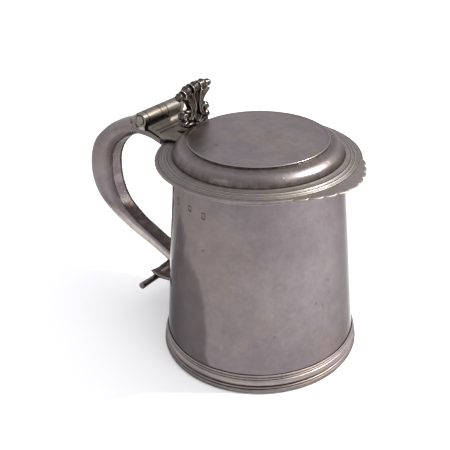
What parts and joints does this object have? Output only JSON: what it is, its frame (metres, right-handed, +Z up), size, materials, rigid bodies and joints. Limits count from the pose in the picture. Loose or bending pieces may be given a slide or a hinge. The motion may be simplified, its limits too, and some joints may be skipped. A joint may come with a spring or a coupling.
{
  "type": "lidded tankard",
  "caption": "Tapered metal tankard with a hollow scroll handle, a flat-topped hinged lid with a serrated peak, and a scrolled thumbpiece.",
  "frame": {"origin": "centre of the foot's resting plane, on the drum's axis", "axes": "+Z up along the drum's axis; the handle and hinge stand towards -X, and the lid's peak towards +X; the hinge axis runs along Y"},
  "size_m": [0.2122, 0.125, 0.1637],
  "materials": {
    "drum_metal": "dull, hand-worn, grey patina",
    "foot_metal": "dull with dark grooves",
    "lid_metal": "dull, fine scratches, darker in the mouldings",
    "handle_metal": "dull, rubbed brighter where it is held",
    "hinge_metal": "rubbed, tarnished in the joints",
    "cast_scroll": "cast, dark in the recesses, bright on the ends",
    "solder": "brownish solder"
  },
  "bodies": {
    "tankard": {"drum": "drum_metal", "bottom_plate": "drum_metal", "foot_moulding": "foot_metal", "lip_band": "drum_metal", "handle_shell": "handle_metal", "handle_strip": "handle_metal", "upper_socket": "handle_metal", "terminal": "handle_metal", "terminal_bar": "handle_metal", "handle_knuckle_near": "hinge_metal", "handle_knuckle_middle": "hinge_metal", "handle_knuckle_far": "hinge_metal", "hinge_pin": "hinge_metal", "hinge_drop_near": "hinge_metal", "hinge_drop_far": "hinge_metal"},
    "lid": {"lid_cap": "lid_metal", "lid_flange": "lid_metal", "lid_bezel": "lid_metal", "hinge_plate": "hinge_metal", "lid_knuckle_near": "hinge_metal", "lid_knuckle_far": "hinge_metal", "thumbpiece": "cast_scroll", "thumb_foot": "solder"}
  },
  "joints": [
    {"name": "lid_hinge", "type": "hinge", "parent": "tankard", "child": "lid", "pos_m": [-0.0765, 0, 0.138], "axis": [0, -1, 0], "range_deg": [0, 110]}
  ]
}
